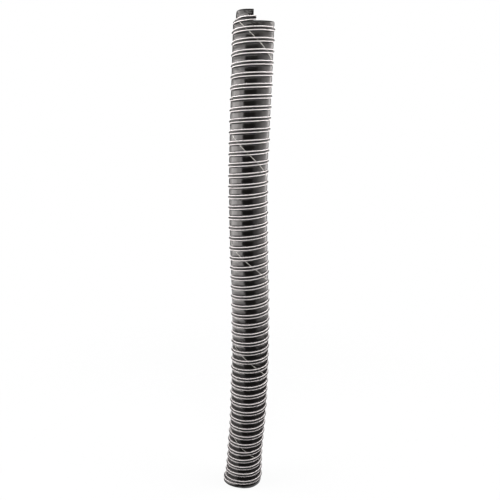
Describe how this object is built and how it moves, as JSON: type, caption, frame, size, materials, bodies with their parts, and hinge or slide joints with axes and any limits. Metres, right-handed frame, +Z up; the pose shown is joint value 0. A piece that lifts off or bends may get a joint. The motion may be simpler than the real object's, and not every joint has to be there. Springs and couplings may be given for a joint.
{
  "type": "flexible air duct",
  "caption": "Flexible two-ply air duct: coated black fabric tubes on a covered spring-wire helix, bound by white cords, open at both ends, with a stepped cut at the top.",
  "frame": {"origin": "centre of the lower opening, in the plane of the lower rim, which stands on the floor", "axes": "+Z up the duct, -Y to the front where the cut step is, +X to the right seen from the front"},
  "size_m": [0.1058, 0.0852, 1.0399],
  "materials": {
    "inner_fabric": "smooth coated glass fabric, satin",
    "outer_fabric": "rubber-coated glass fabric, glossy, fine lines round the duct",
    "spring_steel": "drawn spring wire",
    "cover_rubber": "smooth black rubber, semi-gloss",
    "white_cord": "twisted glass-fibre cord, off-white"
  },
  "bodies": {
    "section_01": {"inner_ply_01": "inner_fabric", "outer_ply_01": "outer_fabric", "spring_wire_01": "spring_steel", "wire_cover_01": "cover_rubber", "binding_cords_01": "white_cord"},
    "section_02": {"inner_ply_02": "inner_fabric", "outer_ply_02": "outer_fabric", "spring_wire_02": "spring_steel", "wire_cover_02": "cover_rubber", "binding_cords_02": "white_cord"},
    "section_03": {"inner_ply_03": "inner_fabric", "outer_ply_03": "outer_fabric", "spring_wire_03": "spring_steel", "wire_cover_03": "cover_rubber", "binding_cords_03": "white_cord"},
    "section_04": {"inner_ply_04": "inner_fabric", "outer_ply_04": "outer_fabric", "spring_wire_04": "spring_steel", "wire_cover_04": "cover_rubber", "binding_cords_04": "white_cord"},
    "section_05": {"inner_ply_05": "inner_fabric", "outer_ply_05": "outer_fabric", "spring_wire_05": "spring_steel", "wire_cover_05": "cover_rubber", "binding_cords_05": "white_cord"},
    "section_06": {"inner_ply_06": "inner_fabric", "outer_ply_06": "outer_fabric", "spring_wire_06": "spring_steel", "wire_cover_06": "cover_rubber", "binding_cords_06": "white_cord"},
    "section_07": {"inner_ply_07": "inner_fabric", "outer_ply_07": "outer_fabric", "spring_wire_07": "spring_steel", "wire_cover_07": "cover_rubber", "binding_cords_07": "white_cord"},
    "section_08": {"inner_ply_08": "inner_fabric", "outer_ply_08": "outer_fabric", "spring_wire_08": "spring_steel", "wire_cover_08": "cover_rubber", "binding_cords_08": "white_cord"},
    "section_09": {"inner_ply_09": "inner_fabric", "outer_ply_09": "outer_fabric", "spring_wire_09": "spring_steel", "wire_cover_09": "cover_rubber", "binding_cords_09": "white_cord"},
    "section_10": {"inner_ply_10": "inner_fabric", "outer_ply_10": "outer_fabric", "spring_wire_10": "spring_steel", "wire_cover_10": "cover_rubber", "binding_cords_10": "white_cord"},
    "section_11": {"inner_ply_11": "inner_fabric", "outer_ply_11": "outer_fabric", "spring_wire_11": "spring_steel", "wire_cover_11": "cover_rubber", "binding_cords_11": "white_cord"},
    "section_12": {"inner_ply_12": "inner_fabric", "outer_ply_12": "outer_fabric", "spring_wire_12": "spring_steel", "wire_cover_12": "cover_rubber", "binding_cords_12": "white_cord"}
  },
  "joints": [
    {"name": "bend_fore_and_aft_01", "type": "hinge", "parent": "section_01", "child": "section_02", "pos_m": [0, 0, 0.0804], "axis": [0.9986, 0, -0.0523], "range_deg": [-45, 45], "stiffness_Nm_per_rad": 12, "deforming": ["inner_ply_02", "outer_ply_02", "spring_wire_02", "wire_cover_02", "binding_cords_02", "inner_ply_01", "outer_ply_01", "spring_wire_01", "wire_cover_01", "binding_cords_01"]},
    {"name": "bend_side_to_side_02", "type": "hinge", "parent": "section_02", "child": "section_03", "pos_m": [0.00832, 0, 0.15958], "axis": [0, 1, 0], "range_deg": [-45, 45], "stiffness_Nm_per_rad": 12, "deforming": ["inner_ply_03", "outer_ply_03", "spring_wire_03", "wire_cover_03", "binding_cords_03"]},
    {"name": "squeeze_03", "type": "slide", "parent": "section_03", "child": "section_04", "axis": [0.0393, 0, 0.9992], "range_m": [-0.034, 0], "stiffness_N_per_m": 900, "springref_m": 0.009, "deforming": ["inner_ply_04", "outer_ply_04", "spring_wire_04", "wire_cover_04", "binding_cords_04"]},
    {"name": "bend_fore_and_aft_04", "type": "hinge", "parent": "section_04", "child": "section_05", "pos_m": [0.01476, 0, 0.32394], "axis": [0.9998, 0, -0.0175], "range_deg": [-45, 45], "stiffness_Nm_per_rad": 12, "deforming": ["inner_ply_05", "outer_ply_05", "spring_wire_05", "wire_cover_05", "binding_cords_05"]},
    {"name": "bend_side_to_side_05", "type": "hinge", "parent": "section_05", "child": "section_06", "pos_m": [0.0155, 0, 0.40844], "axis": [0, 1, 0], "range_deg": [-45, 45], "stiffness_Nm_per_rad": 12, "deforming": ["inner_ply_06", "outer_ply_06", "spring_wire_06", "wire_cover_06", "binding_cords_06"]},
    {"name": "squeeze_06", "type": "slide", "parent": "section_06", "child": "section_07", "axis": [-0.0262, 0, 0.9997], "range_m": [-0.034, 0], "stiffness_N_per_m": 900, "springref_m": 0.009, "deforming": ["inner_ply_07", "outer_ply_07", "spring_wire_07", "wire_cover_07", "binding_cords_07"]},
    {"name": "bend_fore_and_aft_07", "type": "hinge", "parent": "section_07", "child": "section_08", "pos_m": [0.01097, 0, 0.58092], "axis": [0.9998, 0, 0.0218], "range_deg": [-45, 45], "stiffness_Nm_per_rad": 12, "deforming": ["inner_ply_08", "outer_ply_08", "spring_wire_08", "wire_cover_08", "binding_cords_08"]},
    {"name": "bend_side_to_side_08", "type": "hinge", "parent": "section_08", "child": "section_09", "pos_m": [0.0102, 0, 0.66858], "axis": [0, 1, 0], "range_deg": [-45, 45], "stiffness_Nm_per_rad": 12, "deforming": ["inner_ply_09", "outer_ply_09", "spring_wire_09", "wire_cover_09", "binding_cords_09"]},
    {"name": "squeeze_09", "type": "slide", "parent": "section_09", "child": "section_10", "axis": [0.0218, 0, 0.9998], "range_m": [-0.034, 0], "stiffness_N_per_m": 900, "springref_m": 0.009, "deforming": ["inner_ply_10", "outer_ply_10", "spring_wire_10", "wire_cover_10", "binding_cords_10"]},
    {"name": "bend_fore_and_aft_10", "type": "hinge", "parent": "section_10", "child": "section_11", "pos_m": [0.01406, 0, 0.84538], "axis": [0.9992, 0, -0.0393], "range_deg": [-45, 45], "stiffness_Nm_per_rad": 12, "deforming": ["inner_ply_11", "outer_ply_11", "spring_wire_11", "wire_cover_11", "binding_cords_11"]},
    {"name": "bend_side_to_side_11", "type": "hinge", "parent": "section_11", "child": "section_12", "pos_m": [0.01788, 0, 0.93278], "axis": [0, 1, 0], "range_deg": [-45, 45], "stiffness_Nm_per_rad": 12, "deforming": ["inner_ply_12", "outer_ply_12", "spring_wire_12", "wire_cover_12", "binding_cords_12"]}
  ]
}
